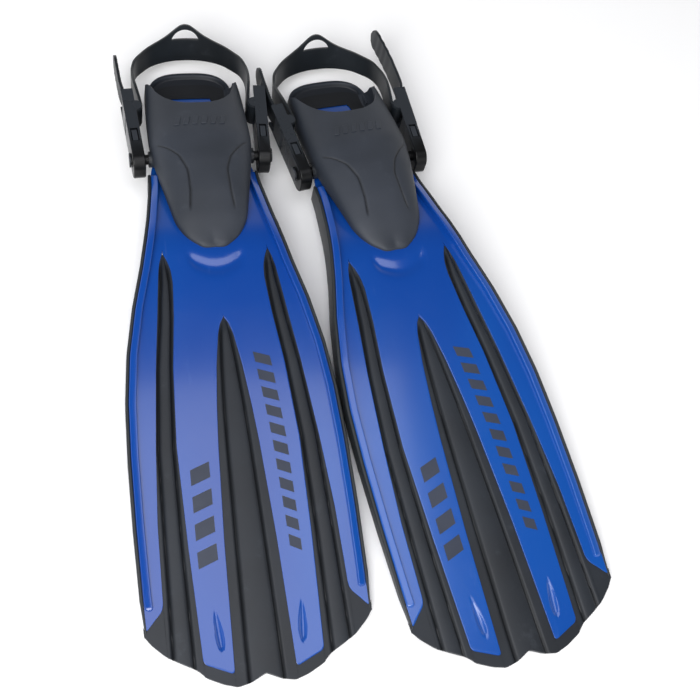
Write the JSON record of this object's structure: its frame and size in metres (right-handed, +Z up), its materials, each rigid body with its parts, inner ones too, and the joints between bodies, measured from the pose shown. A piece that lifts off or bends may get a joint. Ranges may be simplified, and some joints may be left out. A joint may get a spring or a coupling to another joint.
{
  "type": "pair of open heel swim fins",
  "caption": "Pair of open-heel swim fins with ribbed blades, rubber foot pockets and adjustable heel straps on side-release buckles",
  "frame": {"origin": "centre of the pair on the floor, at the middle of its bounding box", "axes": "+X to the right across both blades, +Y from the blade tips towards the heels, +Z up; both fins lie instep up"},
  "size_m": [0.4146, 0.688, 0.0726],
  "materials": {
    "blue_blade": "gloss moulded, lightly scuffed",
    "soft_rubber": "satin",
    "edge_rubber": "satin",
    "pocket_rubber": "fine matte",
    "strap_rubber": "satin",
    "black_plastic": "satin moulded",
    "tab_plastic": "satin moulded",
    "pin_plastic": "satin"
  },
  "bodies": {
    "fin_a": {"fin_a_blade": "blue_blade", "fin_a_channels": "soft_rubber", "fin_a_edge_l": "edge_rubber", "fin_a_edge_r": "edge_rubber", "fin_a_pocket": "pocket_rubber", "fin_a_heel": "pocket_rubber", "fin_a_posts": "black_plastic"},
    "fin_a_harness": {"fin_a_strap": "strap_rubber", "fin_a_bars": "black_plastic", "fin_a_lever_pins": "pin_plastic", "fin_a_insert_l": "black_plastic", "fin_a_insert_r": "black_plastic"},
    "fin_a_receptacle_l": {"fin_a_receptacle_l": "black_plastic"},
    "fin_a_lever_l": {"fin_a_lever_l": "black_plastic"},
    "fin_a_tab_top_l": {"fin_a_tab_top_l": "tab_plastic"},
    "fin_a_tab_low_l": {"fin_a_tab_low_l": "tab_plastic"},
    "fin_a_receptacle_r": {"fin_a_receptacle_r": "black_plastic"},
    "fin_a_lever_r": {"fin_a_lever_r": "black_plastic"},
    "fin_a_tab_top_r": {"fin_a_tab_top_r": "tab_plastic"},
    "fin_a_tab_low_r": {"fin_a_tab_low_r": "tab_plastic"},
    "fin_b": {"fin_b_blade": "blue_blade", "fin_b_channels": "soft_rubber", "fin_b_edge_l": "edge_rubber", "fin_b_edge_r": "edge_rubber", "fin_b_pocket": "pocket_rubber", "fin_b_heel": "pocket_rubber", "fin_b_posts": "black_plastic"},
    "fin_b_harness": {"fin_b_strap": "strap_rubber", "fin_b_bars": "black_plastic", "fin_b_lever_pins": "pin_plastic", "fin_b_insert_l": "black_plastic", "fin_b_insert_r": "black_plastic"},
    "fin_b_receptacle_l": {"fin_b_receptacle_l": "black_plastic"},
    "fin_b_lever_l": {"fin_b_lever_l": "black_plastic"},
    "fin_b_tab_top_l": {"fin_b_tab_top_l": "tab_plastic"},
    "fin_b_tab_low_l": {"fin_b_tab_low_l": "tab_plastic"},
    "fin_b_receptacle_r": {"fin_b_receptacle_r": "black_plastic"},
    "fin_b_lever_r": {"fin_b_lever_r": "black_plastic"},
    "fin_b_tab_top_r": {"fin_b_tab_top_r": "tab_plastic"},
    "fin_b_tab_low_r": {"fin_b_tab_low_r": "tab_plastic"}
  },
  "joints": [
    {"name": "fin_a_swing_l", "type": "hinge", "parent": "fin_a", "child": "fin_a_receptacle_l", "pos_m": [-0.10923, 0.18138, 0.038], "axis": [1, 0, 0], "range_deg": [-2, 110]},
    {"name": "fin_a_lever_l_lift", "type": "hinge", "parent": "fin_a_harness", "child": "fin_a_lever_l", "pos_m": [-0.17763, 0.22707, 0.038], "axis": [0, 0, 1], "range_deg": [0, 30]},
    {"name": "fin_a_squeeze_top_l", "type": "hinge", "parent": "fin_a_harness", "child": "fin_a_tab_top_l", "pos_m": [-0.17342, 0.21731, 0.048], "axis": [0.9981, 0.061, 0], "range_deg": [0, 8], "stiffness_Nm_per_rad": 0.12},
    {"name": "fin_a_squeeze_low_l", "type": "hinge", "parent": "fin_a_harness", "child": "fin_a_tab_low_l", "pos_m": [-0.17342, 0.21731, 0.028], "axis": [-0.9981, -0.061, 0], "range_deg": [0, 8], "stiffness_Nm_per_rad": 0.12},
    {"name": "fin_a_swing_r", "type": "hinge", "parent": "fin_a", "child": "fin_a_receptacle_r", "pos_m": [-0.10923, 0.18138, 0.038], "axis": [1, 0, 0], "range_deg": [-2, 110]},
    {"name": "fin_a_lever_r_lift", "type": "hinge", "parent": "fin_a_harness", "child": "fin_a_lever_r", "pos_m": [-0.04082, 0.22707, 0.038], "axis": [0, 0, -1], "range_deg": [0, 30]},
    {"name": "fin_a_squeeze_top_r", "type": "hinge", "parent": "fin_a_harness", "child": "fin_a_tab_top_r", "pos_m": [-0.04503, 0.21731, 0.048], "axis": [0.9981, -0.061, 0], "range_deg": [0, 8], "stiffness_Nm_per_rad": 0.12},
    {"name": "fin_a_squeeze_low_r", "type": "hinge", "parent": "fin_a_harness", "child": "fin_a_tab_low_r", "pos_m": [-0.04503, 0.21731, 0.028], "axis": [-0.9981, 0.061, 0], "range_deg": [0, 8], "stiffness_Nm_per_rad": 0.12},
    {"name": "fin_a_release", "type": "slide", "parent": "fin_a_receptacle_l", "child": "fin_a_harness", "axis": [0, 1, 0], "range_m": [0, 0.02]},
    {"name": "fin_b_apart", "type": "slide", "parent": "fin_a", "child": "fin_b", "axis": [1, 0, 0], "range_m": [0, 0.25]},
    {"name": "fin_b_swing_l", "type": "hinge", "parent": "fin_b", "child": "fin_b_receptacle_l", "pos_m": [0.04926, 0.16598, 0.038], "axis": [0.9906, 0.1366, 0], "range_deg": [-2, 110]},
    {"name": "fin_b_lever_l_lift", "type": "hinge", "parent": "fin_b_harness", "child": "fin_b_lever_l", "pos_m": [-0.02474, 0.2019, 0.038], "axis": [0, 0, 1], "range_deg": [0, 30]},
    {"name": "fin_b_squeeze_top_l", "type": "hinge", "parent": "fin_b_harness", "child": "fin_b_tab_top_l", "pos_m": [-0.01925, 0.1928, 0.048], "axis": [0.9804, 0.1968, 0], "range_deg": [0, 8], "stiffness_Nm_per_rad": 0.12},
    {"name": "fin_b_squeeze_low_l", "type": "hinge", "parent": "fin_b_harness", "child": "fin_b_tab_low_l", "pos_m": [-0.01925, 0.1928, 0.028], "axis": [-0.9804, -0.1968, 0], "range_deg": [0, 8], "stiffness_Nm_per_rad": 0.12},
    {"name": "fin_b_swing_r", "type": "hinge", "parent": "fin_b", "child": "fin_b_receptacle_r", "pos_m": [0.04926, 0.16598, 0.038], "axis": [0.9906, 0.1366, 0], "range_deg": [-2, 110]},
    {"name": "fin_b_lever_r_lift", "type": "hinge", "parent": "fin_b_harness", "child": "fin_b_lever_r", "pos_m": [0.11078, 0.22058, 0.038], "axis": [0, 0, -1], "range_deg": [0, 30]},
    {"name": "fin_b_squeeze_top_r", "type": "hinge", "parent": "fin_b_harness", "child": "fin_b_tab_top_r", "pos_m": [0.10794, 0.21034, 0.048], "axis": [0.9971, 0.0758, 0], "range_deg": [0, 8], "stiffness_Nm_per_rad": 0.12},
    {"name": "fin_b_squeeze_low_r", "type": "hinge", "parent": "fin_b_harness", "child": "fin_b_tab_low_r", "pos_m": [0.10794, 0.21034, 0.028], "axis": [-0.9971, -0.0758, 0], "range_deg": [0, 8], "stiffness_Nm_per_rad": 0.12},
    {"name": "fin_b_release", "type": "slide", "parent": "fin_b_receptacle_l", "child": "fin_b_harness", "axis": [-0.1366, 0.9906, 0], "range_m": [0, 0.02]}
  ],
  "couplings": [
    {"joint": "fin_a_swing_r", "follows": "fin_a_swing_l", "ratio": 1},
    {"joint": "fin_b_swing_r", "follows": "fin_b_swing_l", "ratio": 1}
  ]
}
